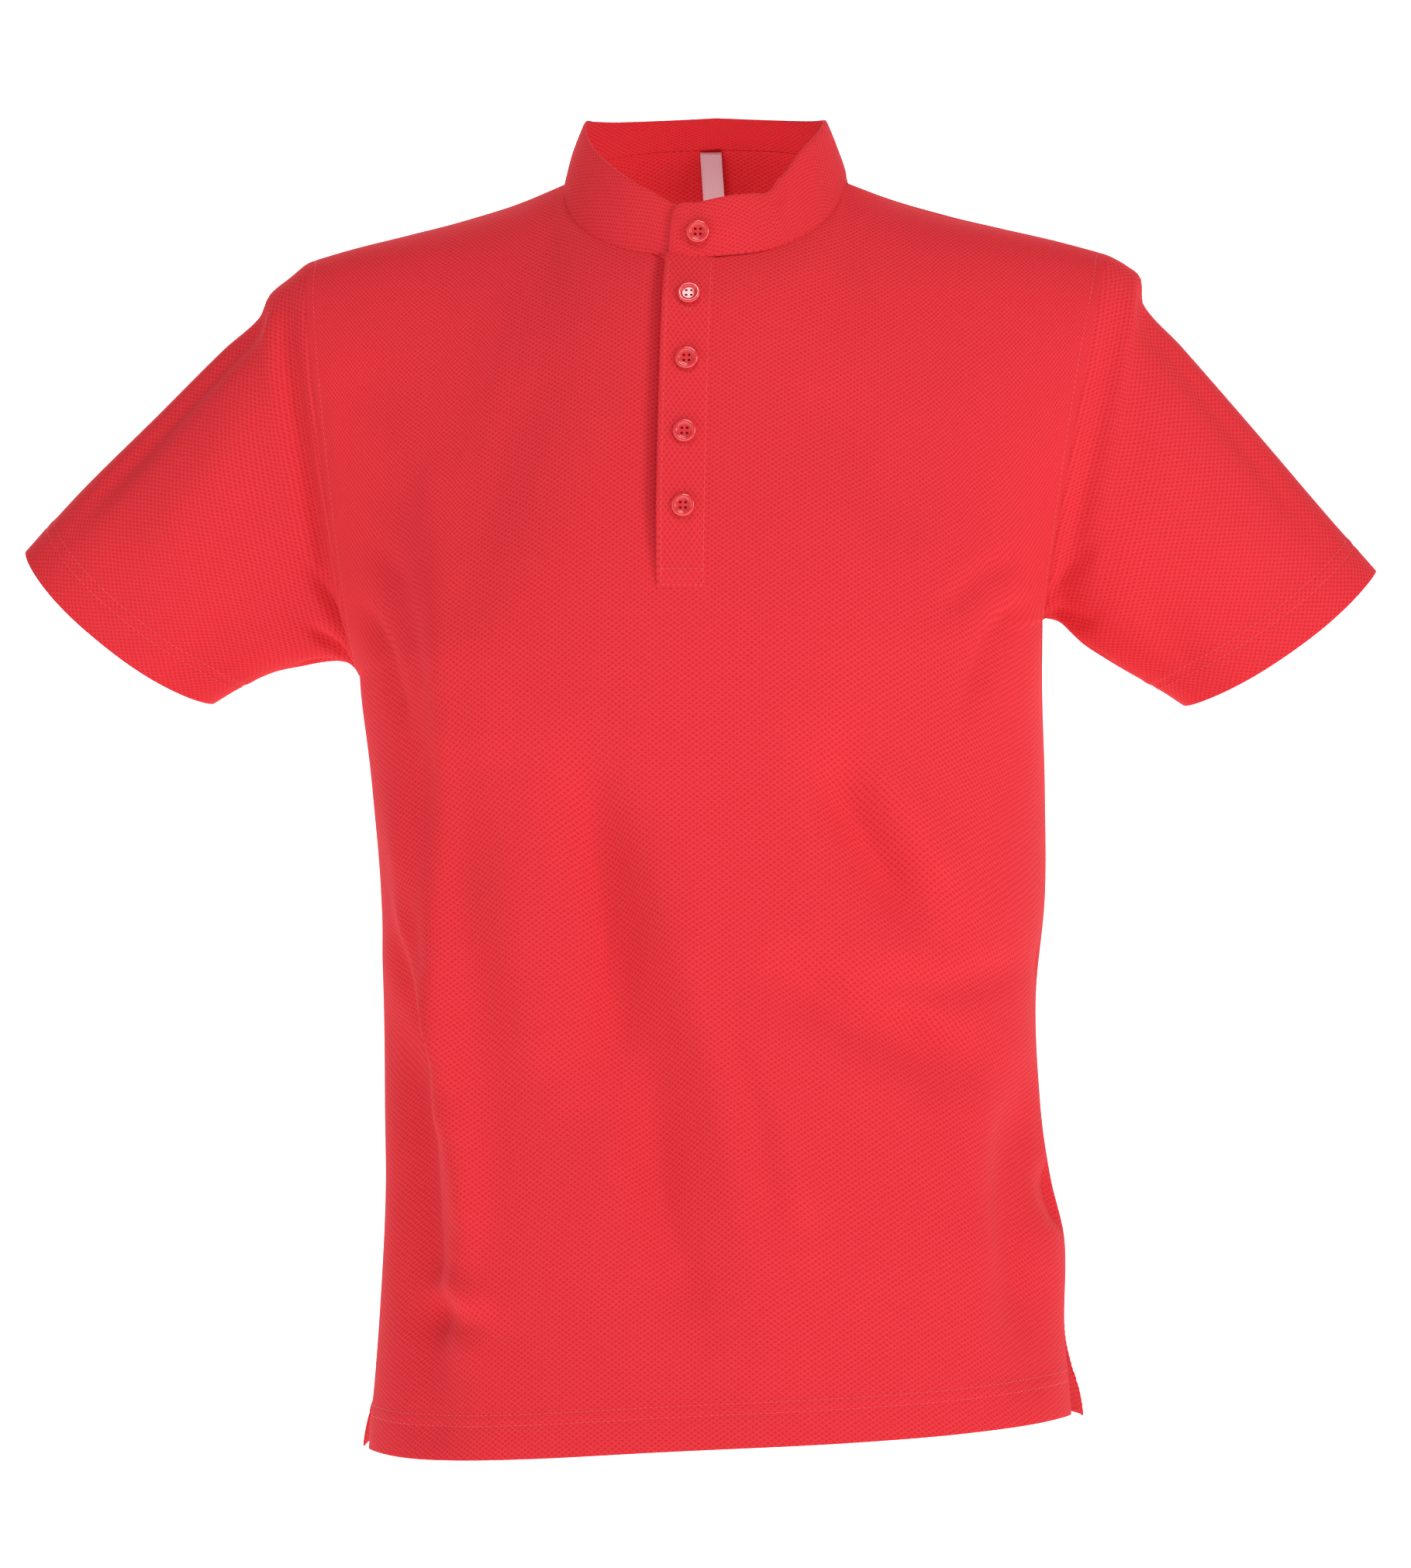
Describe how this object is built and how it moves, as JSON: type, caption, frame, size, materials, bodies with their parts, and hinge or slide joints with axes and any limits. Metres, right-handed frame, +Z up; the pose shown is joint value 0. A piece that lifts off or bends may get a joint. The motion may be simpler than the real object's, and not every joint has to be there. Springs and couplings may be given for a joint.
{
  "type": "polo shirt",
  "caption": "Short-sleeved polo shirt with a band collar and a buttoned placket, filled out as worn and hollow.",
  "frame": {"origin": "midway between the two points where the shoulder seams meet the neckline, where the wearer's shoulders carry the shirt", "axes": "+Z up, +X to the wearer's left, -Y to the front"},
  "size_m": [0.7659, 0.2484, 0.7583],
  "materials": {
    "pique": "matte cotton pique knit, red",
    "button": "glossy moulded resin, red",
    "label": "white satin, bare"
  },
  "bodies": {
    "root": {"front_panel": "pique", "back_panel": "pique", "sleeve_right": "pique", "sleeve_left": "pique", "collar_band": "pique", "placket_upper": "pique", "placket_under": "pique", "button_1": "button", "button_2": "button", "button_3": "button", "button_4": "button", "button_5": "button", "neck_label": "label"}
  },
  "joints": []
}
